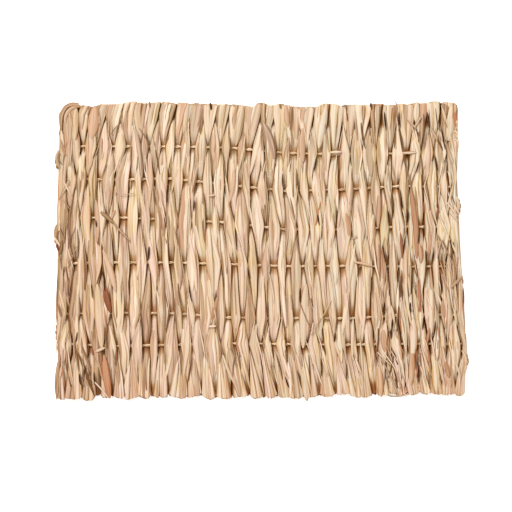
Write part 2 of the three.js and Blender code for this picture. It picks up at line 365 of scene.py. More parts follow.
def bend_blade(strip, number, places, along_mm, width, tone):
    """A copy of the strip with its corners at places, its number and length in its map, and its tone."""
    blade = strip.copy()
    blade.data = strip.data.copy()
    bpy.context.scene.collection.objects.link(blade)
    blade.data.vertices.foreach_set("co", laid_out(places).astype(np.float32).ravel())
    layer = blade.data.uv_layers.active
    layer.name = "blade"
    flat = np.empty(len(layer.data) * 2)
    layer.data.foreach_get("uv", flat)
    flat = flat.reshape(-1, 2)
    flat[:, 0] = number + MAP_MARGIN + (1 - 2 * MAP_MARGIN) * flat[:, 0]
    flat[:, 1] = flat[:, 1] * along_mm / 10
    layer.data.foreach_set("uv", flat.ravel())
    shade = np.full(len(places), tone)
    if tone < FREE_TONES:
        for x, up, reach_x, reach_up, step in TONE_PATCHES:
            far = ((places[:, 0] - x) / reach_x) ** 2 + ((places[:, 1] - up) / reach_up) ** 2
            shade += step * np.exp(-far)
        head, foot = line_height(HEAD_LINE, places[:, 0]), line_height(FOOT_LINE, places[:, 0])
        # Painted shade: darker near the head, where the leaf turns over the fold, and near the foot.
        shade += FOLD_PAINTED_SHADE * np.clip((places[:, 1] - head + FOLD_SHADE_BAND) / FOLD_SHADE_BAND, 0, 1)
        shade += FOLD_PAINTED_SHADE * np.clip((foot + 0.9 - places[:, 1]) / FOLD_SHADE_BAND, 0, 1)
        shade = np.clip(shade, 0, max(tone, FOLDED_LIMIT))
    set_amounts(blade, "tone", shade)
    set_amounts(blade, "breadth", width)
    return blade


def full_route(along, rng, bundle, kind):
    """Heights up the mat along a leaf, its last stretch turned down round the fold at the top."""
    short = kind["short"]
    low_end = MAT_ENDS[0] + 0.3 * scatter(bundle // 2, 51) + rng.uniform(-0.5, 0.5)
    low_end += short + 0.8 * (bundle % 2)
    high_end = MAT_ENDS[1] + 0.3 * scatter((bundle + 1) // 2, 53) + rng.uniform(-0.7, 0.6) - short
    if kind["foot"]:
        length = rng.uniform(*kind["foot"])
        return low_end + length * along, np.zeros(along.shape), length
    if kind["head"]:
        low_end = high_end - rng.uniform(*kind["head"])
    run = np.clip(along / (1 - FOLD_SHARE), 0, 1)
    turn = np.clip((along - (1 - FOLD_SHARE)) / FOLD_SHARE, 0, 1) * FOLD_TURN
    up = low_end + (high_end - FOLD_RADIUS - low_end) * run + FOLD_RADIUS * np.sin(turn)
    return up, FOLD_RADIUS * (1 - np.cos(turn)), high_end - low_end


def part_route(along, rng, kind, bundle):
    """Heights up the mat along a leaf that shows for a part of the way, over one row of the cord."""
    rows = [row_height(k, (bundle + 0.5) / BUNDLES) for k in range(len(CORD_ROWS))]
    over_rows = [row for k, row in enumerate(rows) if (bundle + k) % 2 == 0]
    open_rows = [row for k, row in enumerate(rows) if (bundle + k) % 2 and bundle in OPEN_CROSSINGS[k]]
    longest = kind["span"][1]
    for _ in range(SPAN_TRIES):
        length = rng.uniform(min(kind["span"][0], longest), longest)
        middle = rng.choice(over_rows) + rng.uniform(-kind["reach"], kind["reach"])
        low_end = max(middle - length / 2, MAT_ENDS[0] + 0.5)
        high_end = min(middle + length / 2, MAT_ENDS[1] - 3)
        if not any(low_end + CLEAR_OF_CORD < row < high_end - CLEAR_OF_CORD for row in open_rows):
            break
        longest = max(longest * 0.85, 30.0)
    return low_end + (high_end - low_end) * along, np.zeros(along.shape), high_end - low_end


def weave_blade(strip, number, bundle, rng, kind, side):
    """One leaf of a bundle: lean and wander place it in its lane, layer stacks it, roll tips it."""
    across, along = corners_of(strip)
    outer = bundle in (0, BUNDLES - 1)
    if kind["span"]:
        up, drop, length = part_route(along, rng, kind, bundle)
        taper = np.clip(np.sin(np.pi * along), 0.02, 1) ** kind["taper"]
        drop = drop + kind["tuck"] * (2 * along - 1) ** 4
    else:
        up, drop, length = full_route(along, rng, bundle, kind)
        taper = 1.0
    if kind["head"] or kind["foot"]:
        flare = along if kind["head"] else 1 - along
        taper = 0.25 + 0.75 * flare ** 0.8
        drop = drop + kind["tuck"] * (1 - flare) ** 4
    middle, half, phase = bundle_lane(bundle, up)
    if kind["on_border"]:
        middle = lane_border(bundle + rng.choice((0, 1)), up)
        half, phase = np.full(up.shape, BORDER_HALF_WIDTH), 0.0
    if kind["straight"]:
        left = border_place(bundle, up) - (UNDER_LAP if bundle else kind["outer_lap"])
        right = border_place(bundle + 1, up) + (UNDER_LAP if bundle < BUNDLES - 1 else kind["outer_lap"])
        middle, half = (left + right) / 2, (right - left) / 2
    lowest = EDGE_FLOOR if outer else -1.0
    phase = np.maximum(phase, lowest if kind["floor"] is None else kind["floor"])
    phase = np.minimum(phase, kind["ceiling"])
    width = rng.uniform(*kind["width"])
    start = rng.uniform(0, 2 * math.pi)
    lean = side * kind["lean"] * rng.uniform(0.45, 1.0)
    wander = kind["wander"] * rng.uniform(0.3, 1.0)
    stroll = lean + wander * np.sin(up / rng.uniform(22, 46) + start)
    squeeze = np.clip(2 * half / NOMINAL_LANE, 0.38, kind["stretch"])
    breadth = width * squeeze * taper * (1 + 0.08 * np.sin(up / rng.uniform(12, 26) + start * 3))
    room = np.maximum(half - breadth * 0.42, 0.15)
    tip = np.sin(up / rng.uniform(12, 30) + rng.uniform(0, 6.3)) + rng.uniform(-0.8, 0.8)
    tip = kind["roll"] * tip * np.clip(0.6 + phase, 0.2, 1)
    offset = (across - 0.5) * breadth
    fold = rng.uniform(-0.25, 0.25)
    crease = kind["crease"] * rng.choice((-0.5, 1.0, 1.0))
    relief = -breadth * (crease * np.abs(across - 0.5 - fold) + kind["camber"] * (2 * across - 1) ** 2)
    top, low = top_height(phase), low_height(phase)
    z = low + (top - low) * rng.uniform(*kind["layer"]) - drop
    z += offset * np.sin(tip) + relief * np.cos(tip)
    x = middle + stroll * room + offset * np.cos(tip) - relief * np.sin(tip)
    x += kind["slant"] * rng.uniform(-1, 1) * (2 * along - 1)
    foot_fan = np.clip((MAT_ENDS[0] + FOOT_FAN - up) / FOOT_FAN, 0, 1)
    head_fan = np.clip((up - MAT_ENDS[1] + HEAD_FAN) / HEAD_FAN, 0, 1)
    splay = kind["splay"] * (OUTER_SPLAY if outer else 1.0)
    x += splay * (foot_fan * rng.uniform(-1.2, 1.2) + head_fan * rng.uniform(-1.0, 1.0))
    z = np.clip(z, BLADE_THICKNESS, None)
    if not kind["span"]:
        up = up + (across - 0.5) * rng.uniform(-END_TILT, END_TILT) * np.clip(1 - along * 25, 0, 1)
        aside = np.clip(np.abs(x - middle) / np.maximum(half, 1.5), 0, 1.15)
        near_foot = np.clip((MAT_ENDS[0] + END_REACH - up) / END_REACH, 0, 1)
        near_head = np.clip((up - MAT_ENDS[1] + END_REACH) / END_REACH, 0, 1)
        up = up + FOOT_ROUNDING * aside ** 4 * np.clip(near_foot * 3 - 2, 0, 1)
        up = up + (line_height(FOOT_LINE, x) - MAT_ENDS[0]) * near_foot
        up = up + (line_height(HEAD_LINE, x) - MAT_ENDS[1]) * near_head
        up = up - TOP_ROUNDING * (2 * across - 1) ** 2 * np.clip(1 - (1 - along) * 14, 0, 1)
    tone = min(max(rng.gauss(*kind["tone"]), 0.0), kind["darkest"])
    if rng.random() < kind["reds"]:
        tone = rng.uniform(*RED_TONES)
    return bend_blade(strip, number, np.stack((x, up, z), axis=1), length, width, tone)


def join_pieces(parts, name):
    select_only(parts)
    bpy.ops.object.join()
    whole = bpy.context.object
    whole.name = name
    whole.data.name = name
    return whole


def finish_leaves(name, strip, blades, thickness):
    """One piece of all the blades made from a strip, each as thick as a leaf."""
    bpy.data.objects.remove(strip)
    piece = join_pieces(blades, name)
    select_only([piece])
    wall = piece.modifiers.new("wall", "SOLIDIFY")
    wall.thickness = thickness * MM
    wall.offset = 0
    bpy.ops.object.modifier_apply(modifier="wall")
    bpy.ops.object.shade_smooth_by_angle(angle=math.radians(35))
    return piece


# How every leaf lies, unless its kind says otherwise: how many to a bundle and in which bundles, the
# strip's cells across it, how it wanders, tips and folds, which part of the mat's length it takes, how
# deep its ends are tucked in, how low and high it may ride in the weave, and the share of red ones.
PLAIN_LEAF = dict(
    count=1, keep=1.0, bundles=(0, 1), cells=4, stations=96, on_border=False, straight=False,
    wander=0.3, roll=0.3, camber=0.05, crease=0.2, slant=0.0, splay=1.0, stretch=1.3,
    span=None, head=None, foot=None, short=0.0, reach=9, tuck=0.0, floor=None, ceiling=1.0,
    darkest=DARKEST_LEAF, reds=0.05,
)
SIDE_LEAF = dict(
    PLAIN_LEAF, width=(2.4, 3.8), layer=(0.6, 0.98), camber=0.04, tone=(0.42, 0.18), reds=0.04)
# Leaves under the bundles: their dark tones, and the darker copy of the leaf material they get, paint the
# shade they lie in.
SHADED_LEAF = dict(
    PLAIN_LEAF, straight=True, count=2, cells=1, width=(5.0, 6.0), lean=1.0, wander=0.2, camber=0.0,
    crease=0.0, reds=0.0)
LEAF_KINDS = {
    "woven_leaves": dict(
        PLAIN_LEAF, width=(3.4, 5.0), layer=(0.76, 0.88), lean=0.3, roll=0.2, camber=0.04, crease=0.16,
        tone=(0.36, 0.17), reds=0.03),
    "left_leaves": dict(SIDE_LEAF, lean=-1.0),
    "right_leaves": dict(SIDE_LEAF, lean=1.0),
    "top_leaves": dict(
        PLAIN_LEAF, cells=3, width=(1.8, 3.2), layer=(0.96, 1.06), lean=0.9, wander=0.7,
        tone=(0.40, 0.19), reds=0.03),
    "slanting_leaves": dict(
        PLAIN_LEAF, count=3, stations=24, width=(2.2, 5.0), layer=(0.99, 1.1), lean=0.6, wander=0.2,
        slant=3.4, span=(30, 70), taper=1.15, tuck=1.5, tone=(0.32, 0.18)),
    "rider_leaves": dict(
        PLAIN_LEAF, keep=0.8, stations=40, width=(1.8, 4.4), layer=(1.02, 1.1), lean=0.8, roll=0.25,
        slant=4.0, span=(50, 110), taper=0.9, tuck=1.4, floor=0.2, tone=(0.32, 0.18)),
    "split_slivers": dict(
        PLAIN_LEAF, count=2, keep=0.7, cells=2, stations=32, width=(0.5, 1.3), layer=(0.94, 1.12),
        lean=1.0, wander=0.8, slant=2.0, span=(24, 110), taper=0.5, tuck=0.6, tone=(0.5, 0.34), reds=0.1),
    "head_leaves": dict(
        PLAIN_LEAF, count=2, bundles=(1, 2), stations=48, width=(2.6, 4.6), layer=(1.0, 1.08), lean=0.9,
        wander=0.2, roll=0.2, crease=0.14, slant=0.7, head=(22, 50), tuck=1.6, stretch=1.6,
        tone=(0.38, 0.17), splay=0.3),
    "foot_leaves": dict(
        PLAIN_LEAF, count=4, bundles=(0, 2), stations=24, width=(1.6, 3.2), layer=(1.0, 1.1), lean=1.15,
        wander=0.2, roll=0.2, crease=0.16, slant=1.4, foot=(22, 44), tuck=1.6, stretch=1.6,
        tone=(0.44, 0.18), splay=0.4),
    # Thin near-black strips along the borders between bundles: painted shade where the gaps there show
    # dark.
    "shaded_slivers": dict(
        PLAIN_LEAF, count=3, keep=0.8, on_border=True, cells=2, stations=14, width=(0.5, 1.2),
        layer=(1.0, 1.15), lean=0.2, wander=0.2, roll=0.1, camber=0.0, crease=0.0, slant=0.7,
        span=(8, 26), taper=0.9, tuck=0.4, reach=20, tone=(0.74, 0.03), darkest=0.765, reds=0.0),
    "under_leaves": dict(
        SHADED_LEAF, stations=40, layer=(0.0, 0.06), roll=0.03, tone=(0.7, 0.05), short=0.7,
        ceiling=0.3, outer_lap=-2.6),
    "lowest_leaves": dict(
        SHADED_LEAF, stations=16, layer=(-0.12, 0.04), roll=0.0, tone=(0.64, 0.05), short=0.9,
        floor=0.0, ceiling=0.0, outer_lap=-0.6),
}
leaf_pieces = {}
blade_number = 0
for piece_name, kind in LEAF_KINDS.items():
    rng = random.Random(piece_name)
    strip = flat_strip(kind["cells"], kind["stations"])
    blades = []
    first, step = kind["bundles"]
    for bundle in range(first, BUNDLES, step):
        for turn in range(kind["count"]):
            if rng.random() > kind["keep"]:
                continue
            both_sides = piece_name not in ("left_leaves", "right_leaves")
            side = -1 if both_sides and (turn + bundle // step) % 2 else 1
            blades.append(weave_blade(strip, blade_number, bundle, rng, kind, side))
            blade_number += 1
    leaf_pieces[piece_name] = finish_leaves(piece_name, strip, blades, BLADE_THICKNESS)


# Single leaves that stand out in the weave, and stray bits lying loose on it: each is a short strip
# of the same leaf, laid from its head to its foot and held by the leaves it is tucked under.
MARKED_LEAVES = (
    # head across, up, foot across, up, width, tone, height of the middle
    (-116.2, 101, -118.6, 78, 7.4, 0.83, 5.3),
    (-118.6, 81, -119.5, 57.6, 4, 0.81, 4.9),
    (-87.8, 85.8, -82.8, 50.6, 3.4, 0.80, 5),
    (-115.3, 35.1, -114.6, 4.8, 3.2, 0.85, 4.9),
    (-110.3, -0.2, -101.2, -29.8, 4.4, 0.81, 4.9),
    (-109.6, -74, -105.4, -104.6, 5.6, 0.905, 5.5),
    (-128.7, -43.9, -128, -67.9, 3.2, 0.03, 4.9),
    (-114.4, -24, -111, -70, 6.2, 0.33, 5.2),
    (-109, -26, -105, -44, 4.4, 0.985, 5.5),
    (-109.8, -22, -105.4, -42, 1.7, 0.97, 5.4),
    (-109.6, -40, -108, -68, 1.2, 0.9, 5.4),
    (-108.8, -52, -107, -70, 0.9, 0.75, 5.5),
    (119.5, 87.2, 126, 75.3, 2, 0.62, 5.1),
    (124.4, 79.4, 129.1, 69.6, 1.1, 0.76, 5.1),
    (111, 104.2, 110.3, 90.1, 4.9, 0.12, 5),
    (135.7, 103.5, 133.6, 76.7, 6.3, 0.24, 5),
    (78.6, 85.8, 78.6, 52, 5.3, 0.62, 5),
    (2.5, 90.1, 10.2, 64, 6.4, 0.80, 5.1),
    (46.9, 101.3, 41.9, 71.7, 6, 0.2, 5),
    (-11.6, 100.6, -16.6, 73.8, 5.6, 0.52, 5),
    (-32.1, 82.3, -32.1, 61.9, 3.1, 0.82, 4.9),
    (18.7, 102, 20.1, 86.5, 3.5, 0.84, 4.9),
    (30.7, 85.8, 30.7, 61.9, 4.5, 0.81, 4.9),
    (-18, 56.2, -21.5, 33, 3.5, 0.84, 4.9),
    (106.4, 43, 110.6, -6, 4, 0.885, 5.5),
    (99.2, 12, 100.4, -6, 1.7, 0.97, 5.3),
    (84, 4, 84.6, -22, 1.3, 0.95, 5.3),
    (119.8, -55, 117.8, -66, 2.2, 0.9, 5.2),
    (98.6, -40, 99.8, -60, 1.1, 0.93, 5.3),
    (113, -30, 112.2, -44, 1.2, 0.94, 5.3),
    (64.6, 48, 63, 22, 0.9, 0.74, 5.3),
    (84.2, 40.7, 83.5, 15.3, 3.4, 0.84, 4.9),
    (61, 25.9, 63.1, 9, 3, 0.87, 4.9),
    (-29.3, -32.6, -33.5, -49.5, 3, 0.87, 4.9),
    (-21.5, -69.3, -13.7, -103.8, 6.3, 0.53, 5),
    (32.8, -24.1, 30.7, -69.3, 6.3, 0.5, 4.9),
    (16.6, -25.6, 18.7, -54.5, 2.7, 0.06, 5),
    (20.1, -79.1, 22.2, -103.1, 3.1, 0.08, 4.9),
    (30.7, -82, 33.5, -106.6, 5.6, 0.4, 4.9),
    (84.2, -82, 85.7, -103.8, 4.4, 0.81, 5),
    (108.2, -48.1, 107.5, -77.7, 6, 0.36, 5),
    (87.2, -56.4, 88.4, -72, 4.2, 0.83, 5.2),
    (112.6, 4.4, 113.6, -9.4, 3.4, 0.86, 5.2),
    (129.2, -34.8, 130.2, -48.4, 3.6, 0.87, 5.2),
    (107.6, -70, 106.2, -96, 4.6, 0.82, 5.1),
    (112.6, -20, 113.6, -44, 1.7, 0.94, 5.2),
    (122.3, -72.1, 124.4, -101.7, 6.7, 0.14, 5),
    (120.9, -24.1, 120.9, -59.4, 5.6, 0.45, 4.9),
    (130.8, -77.7, 133.6, -90.4, 3.4, 0.84, 5),
    (-139.9, -72.1, -142.8, -105.9, 3.2, 0.62, 4.8),
    (-128, -72.1, -116, -103.8, 2.1, 0.76, 4.9),
    (137.4, 103.6, 137.6, 96, 2.2, 0.42, 5),
    (137.6, 97.4, 138.6, 86.6, 3, 0.93, 4.7),
    (138.4, 88, 139.4, 68, 2.2, 0.86, 4.3),
    (-134.6, 101, -136.2, 62, 7.6, 0.4, 4.7),
    (-129.4, 100.6, -131, 74, 5, 0.34, 4.9),
)
# Parts of the mat with dark gaps between the bundles, where dark strips laid on top paint their shadow:
# place across, up, reach across, up, and how many.
GAP_SHADOW_PATCHES = (
    (106, -20, 28, 66, 36),
    (108, 74, 24, 22, 7),
    (-117, -82, 15, 20, 8),
    (-114, -4, 9, 26, 6),
    (-10, -16, 70, 80, 18),
)
# Tones of the painted gap shadow: near black, and a share in dark red-brown.
GAP_SHADOW_TONE = 0.785
RED_GAP_SHADOW_TONE = 0.97
RED_GAP_SHADOW_SHARE = 0.12
SHORTEST_GAP = 5
GAP_SHADOW_HEIGHT = 5.5
STRAY_BITS = (
    # laid out as the marked leaves are
    (-111.7, 26.6, -102.6, 18.9, 3, 0.7, 5.4),
    (-103.3, 19.6, -91.3, 6.2, 1.5, 0.72, 5.4),
    (-101.9, 28, -105.4, 19.6, 1.4, 0.86, 5.3),
    (-98.3, 38.6, -87.8, 40, 0.5, 0.7, 5.4),
    (-118.1, -91.1, -106.1, -104.5, 1.1, 0.1, 5.4),
    (104, 91.5, 110.3, 85.1, 1.6, 0.6, 5.4),
    (113.9, 93.6, 108.9, 85.8, 1.4, 0.42, 5.4),
    (100.5, 68.2, 110.3, 68.6, 1.7, 0.45, 5.4),
    (49.7, 68.6, 57.5, 68.9, 1.6, 0.3, 5.3),
    (-35.6, 38.2, -31.4, 38.6, 1.1, 0.42, 5.3),
    (-35.6, -54.1, -30.7, -53.8, 1.7, 0.25, 5.3),
    (-115.3, -71.7, -108.9, -68.9, 2, 0.3, 5.4),
    (66.6, -8.6, 79.3, -11.5, 1.8, 0.82, 5.5),
    (134.3, -27, 142.1, -19.2, 2, 0.62, 5.3),
    (131.5, 33.7, 139.2, 23.8, 1.4, 0.55, 5.3),
    (133.6, 26.6, 139.9, 19.6, 1.1, 0.4, 5.3),
    (128, 6.9, 125.1, -5.8, 1.1, 0.82, 5.3),
    (128.7, 6.9, 135.7, -10, 1, 0.8, 5.4),
    (89.2, -67.2, 100.5, -100.3, 1.1, 0.74, 5.3),
    (87.1, -72.1, 96.9, -86.2, 0.8, 0.3, 5.4),
    (92, -70.7, 99.8, -83.4, 0.8, 0.35, 5.5),
    (85, -75.6, 97.6, -102.4, 1.3, 0.8, 5.3),
    (94.8, -72.1, 90.6, -90.4, 0.7, 0.76, 5.4),
    (82.8, -72.1, 93.4, -82, 1, 0.45, 5.4),
    (83.5, -55.2, 82.8, -72.1, 1.1, 0.76, 5),
    # These five short dark strips at the head, two of them near black, paint the shade in nicks of the
    # fold.
    (-34.6, 103.6, -34, 98.6, 1.7, 0.775, 4.9),
    (-77.6, 104.4, -77.2, 100, 1.2, 0.7, 4.9),
    (14.4, 103, 14.8, 99.6, 1.2, 0.7, 4.9),
    (60.2, 102.6, 60.6, 99.2, 1.2, 0.7, 4.9),
    (78.4, 103.6, 78.9, 98.8, 1.5, 0.775, 4.9),
    (127.3, -8.6, 131.5, -22, 1, 0.84, 5.4),
    (95.5, 104.9, 97.6, 99.9, 1, 0.5, 4),
    (-99.8, 87.9, -104.7, 80.9, 0.6, 0.74, 5.3),
    (-85, 85.8, -79.3, 77.4, 0.6, 0.72, 5.3),
    (68.7, 9.7, 65.2, 7.6, 1, 0.72, 5.3),
    (27.8, -35.4, 36.3, -56.6, 0.6, 0.74, 5.4),
    (44.1, -48.1, 50.4, -35.4, 0.6, 0.72, 5.4),
    (36.3, -60.1, 43.4, -48.1, 0.6, 0.74, 5.4),
    (-140.6, -60.8, -143.5, -53.1, 2.1, 0.92, 3.4),
    (-144.9, 9, -140.4, 2.2, 1.3, 0.2, 4.6),
    (-143.2, 3.6, -140.9, -1.2, 1.8, 1, 4.2),
    (137.4, 31.5, 141, 25, 1.4, 0.3, 4.6),
)
# Strips bent round in the plane of the mat: the three points each passes through, width, tone, height.
CURLED_STRIPS = (
    (-139.6, 84, -137.6, 98.6, -127.2, 102.6, 3.6, 0.52, 4.9),
    (-136.8, 88, -134.4, 98, -124, 101, 2.2, 0.36, 5.2),
    (-138.8, 82, -137.4, 96, -131.4, 101.4, 0.7, 0.76, 5.3),
    (-139.4, 98, -141, 94.2, -139.8, 89.5, 1.8, 0.6, 4),
    (-140.4, 71, -142.9, 64.5, -140.6, 57, 2.4, 0.56, 4.3),
    (-139, 68, -141.8, 65, -139, 60, 1, 0.7, 4.8),
    (-141.2, 19, -143.9, 12.5, -142.4, 4, 2.6, 0.6, 4.2),
    (-140.6, 14, -142.8, 9, -140.6, 4, 1.1, 0.72, 4.6),
    (136.4, 83.6, 139.4, 82.2, 138, 79, 1.2, 0.1, 5.2),
    (136.8, 77.6, 139.6, 76.4, 139.8, 72, 1.4, 0.2, 5.1),
    (142.6, -71, 145.7, -79, 143.2, -89, 1.8, 0.5, 4.4),
    (136.8, 38.5, 140, 33, 138.8, 24, 2.2, 0.5, 4.4),
    (89, -100.5, 94, -103, 106, -101.8, 1.3, 0.5, 4.6),
)
# Where thin leaves cross the others: place across, up, reach across, up, how many, tone, how far they
# lean to the right on the way down, and how much that differs from one to the next.
CROSSED_PATCHES = (
    (0, 0, 140, 100, 40, 0.45, 0.04, 0.1),
    (114, -46, 27, 46, 40, 0.75, 0.03, 0.1),
    (116, -60, 26, 42, 50, 0.4, 0.14, 0.1),
    (60, -84, 80, 12, 26, 0.36, 0.24, 0.1),
    (60, -84, 80, 12, 14, 0.73, 0.22, 0.1),
    (133, 30, 6, 70, 22, 0.45, 0.26, 0.18),
    (133, 30, 6, 70, 12, 0.73, 0.2, 0.18),
    (104, 20, 32, 44, 16, 0.73, 0.04, 0.1),
    (-136, 0, 5, 95, 20, 0.45, 0, 0.26),
    (-136, 0, 5, 95, 12, 0.73, 0, 0.26),
    (-118, -88, 20, 12, 9, 0.73, 0.1, 0.1),
    (-118, -88, 20, 12, 12, 0.5, 0.2, 0.1),
    (95, 84, 34, 12, 12, 0.72, 0, 0.1),
    (-112, 90, 16, 10, 8, 0.72, -0.1, 0.1),
    (30, 40, 30, 40, 10, 0.73, 0.04, 0.1),
)
# Rows whose tone is darker than this give narrow dark strips that paint the shade of slits between leaves;
# some of these are given red leaf tones instead.
DARK_PATCH = 0.7
TUCK_DEPTH = 0.6


def crossing_rows(rng):
    rows = []
    for x, up, reach_x, reach_up, count, patch_tone, lean, unlike in CROSSED_PATCHES:
        for _ in range(count):
            middle_x = x + reach_x * rng.uniform(-1, 1)
            middle_up = up + reach_up * rng.uniform(-1, 1)
            half_length = rng.uniform(6, 19) * (0.8 if patch_tone > DARK_PATCH else 1.0)
            half_length = half_length * (0.1 / unlike) ** 0.5
            slope = rng.gauss(lean, unlike)
            head_up = min(middle_up + half_length, MAT_ENDS[1] - 1)
            foot_up = max(middle_up - half_length, MAT_ENDS[0] + 5)
            head_x = middle_x - slope * (head_up - middle_up)
            foot_x = middle_x + slope * (middle_up - foot_up)
            left, right = edge_places(np.array([head_up, foot_up]))
            head_x = min(max(head_x, left[0] + 1), right[0] - 1)
            foot_x = min(max(foot_x, left[1] + 1), right[1] - 1)
            width = rng.uniform(0.7, 2.3)
            tone = min(max(rng.gauss(patch_tone, 0.16 * (0.95 - patch_tone) / 0.5), 0.0), FREE_TONES)
            if patch_tone > DARK_PATCH:
                width *= 0.5
                tone = rng.uniform(0.84, 0.92) if rng.random() < 0.15 else tone
            rows.append((head_x, head_up, foot_x, foot_up, width, tone, rng.uniform(4.6, 5.0)))
    return rows


def gap_shadow_rows(rng):
    """Dark strips laid on top along the border between two bundles for a short way, clear of the cord:
    painted shadow of the gaps there.
    """
    rows = []
    for x, up, reach_x, reach_up, count in GAP_SHADOW_PATCHES:
        for _ in range(count):
            middle_up = up + reach_up * rng.uniform(-1, 1)
            left, right = edge_places(middle_up)
            share = (x + reach_x * rng.uniform(-1, 1) - left) / (right - left)
            border = min(max(round(share * BUNDLES), 1), BUNDLES - 1)
            half_length = rng.uniform(4.0, 9.0)
            width = rng.uniform(0.8, 1.35)
            tone = RED_GAP_SHADOW_TONE if rng.random() < RED_GAP_SHADOW_SHARE else GAP_SHADOW_TONE
            cords = [row_height(k, border / BUNDLES) for k in range(len(CORD_ROWS))]
            ceiling = min([row for row in cords if row > middle_up] + [MAT_ENDS[1] - 4])
            floor = max([row for row in cords if row <= middle_up] + [MAT_ENDS[0] + 4])
            head_up = min(middle_up + half_length, ceiling - 2)
            foot_up = max(middle_up - half_length, floor + 2)
            if head_up - foot_up > SHORTEST_GAP:
                head_x, foot_x = lane_border(border, np.array([head_up, foot_up]))
                rows.append((head_x, head_up, foot_x, foot_up, width, tone, GAP_SHADOW_HEIGHT))
    return rows


def curled_strip(strip, number, row):
    """A strip bent in a smooth curve through three points, of even width with rounded ends."""
    points, (width, tone, height) = np.array(row[:6]).reshape(3, 2), row[6:]
    across, along = corners_of(strip)
    hold = 2 * points[1] - (points[0] + points[2]) / 2
    share = along[:, None]
    middle = (1 - share) ** 2 * points[0] + 2 * share * (1 - share) * hold + share ** 2 * points[2]
    heading = 2 * (1 - share) * (hold - points[0]) + 2 * share * (points[2] - hold)
    heading = heading / np.linalg.norm(heading, axis=1)[:, None]
    aside = np.stack((heading[:, 1], -heading[:, 0]), axis=1)
    offset = (across - 0.5) * width * np.clip(np.sin(np.pi * along), 0.03, 1) ** 0.3
    z = height - 0.12 * np.abs(offset) - 0.9 * (2 * along - 1) ** 4
    places = middle + offset[:, None] * aside
    return bend_blade(strip, number, np.c_[places, z], 20.0, width, tone)


def loose_leaf(strip, number, rng, row, taper, tuck):
    """A strip laid straight between two points, a little bowed, pointed at both ends."""
    head_x, head_up, foot_x, foot_up, width, tone, height = row
    across, along = corners_of(strip)
    start = np.array((foot_x, foot_up))
    reach = np.array((head_x, head_up)) - start
    length = float(np.hypot(*reach))
    aside = np.array((reach[1], -reach[0])) / length
    breadth = width * np.clip(np.sin(np.pi * along), 0.03, 1) ** taper
    bow = rng.uniform(-0.03, 0.03) * length * np.sin(np.pi * along)
    offset = (across - 0.5) * breadth
    tip = rng.uniform(-0.25, 0.25)
    relief = -0.25 * breadth * np.abs(across - 0.5)
    flat = bow + offset * math.cos(tip) - relief * math.sin(tip)
    places = start + along[:, None] * reach + flat[:, None] * aside
    z = height + 0.4 - tuck * (2 * along - 1) ** 4 + offset * math.sin(tip) + relief * math.cos(tip)
    return bend_blade(strip, number, np.c_[places, np.clip(z, BLADE_THICKNESS, None)], length, width, tone)


for piece_name, rows, cells, stations, taper, tuck, thickness in (
    ("marked_leaves", MARKED_LEAVES, 4, 24, 0.5, TUCK_DEPTH, BLADE_THICKNESS),
    # deep_gaps: dark strips laid on top along bundle borders, painted shadow of the gaps there.
    ("deep_gaps", gap_shadow_rows(random.Random("gaps")), 2, 16, 0.6, TUCK_DEPTH, 0.1),
    ("stray_bits", STRAY_BITS + CURLED_STRIPS, 4, 24, 0.3, 0.3, 0.3),
    ("crossing_leaves", crossing_rows(random.Random("crossings")), 2, 20, 0.8, 1.4, BLADE_THICKNESS),
):
    rng = random.Random(piece_name)
    strip = flat_strip(cells, stations)
    blades = []
    for row in rows:
        if len(row) == len(CURLED_STRIPS[0]):
            blades.append(curled_strip(strip, blade_number, row))
        else:
            blades.append(loose_leaf(strip, blade_number, rng, row, taper, tuck))
        blade_number += 1
    leaf_pieces[piece_name] = finish_leaves(piece_name, strip, blades, thickness)


class Amount:
    """A number that changes over a surface. Arithmetic on it adds Math nodes."""

    def __init__(self, tree, socket):
        self.tree = tree
        self.socket = socket

    def combine(self, operation, other, swapped=False):
        node = self.tree.nodes.new("ShaderNodeMath")
        node.operation = operation
        terms = (other, self) if swapped else (self, other)
        for place, term in zip(node.inputs, terms):
            if isinstance(term, Amount):
                self.tree.links.new(term.socket, place)
            else:
                place.default_value = term
        return Amount(self.tree, node.outputs[0])

    def __add__(self, other):
        return self.combine("ADD", other)

    def __sub__(self, other):
        return self.combine("SUBTRACT", other)

    def __rsub__(self, other):
        return self.combine("SUBTRACT", other, swapped=True)

    def __mul__(self, other):
        return self.combine("MULTIPLY", other)

    def __pow__(self, other):
        return self.combine("POWER", other)

    def size(self):
        return self.combine("ABSOLUTE", 0.0)

    def clamped(self):
        return self.combine("MAXIMUM", 0.0).combine("MINIMUM", 1.0)


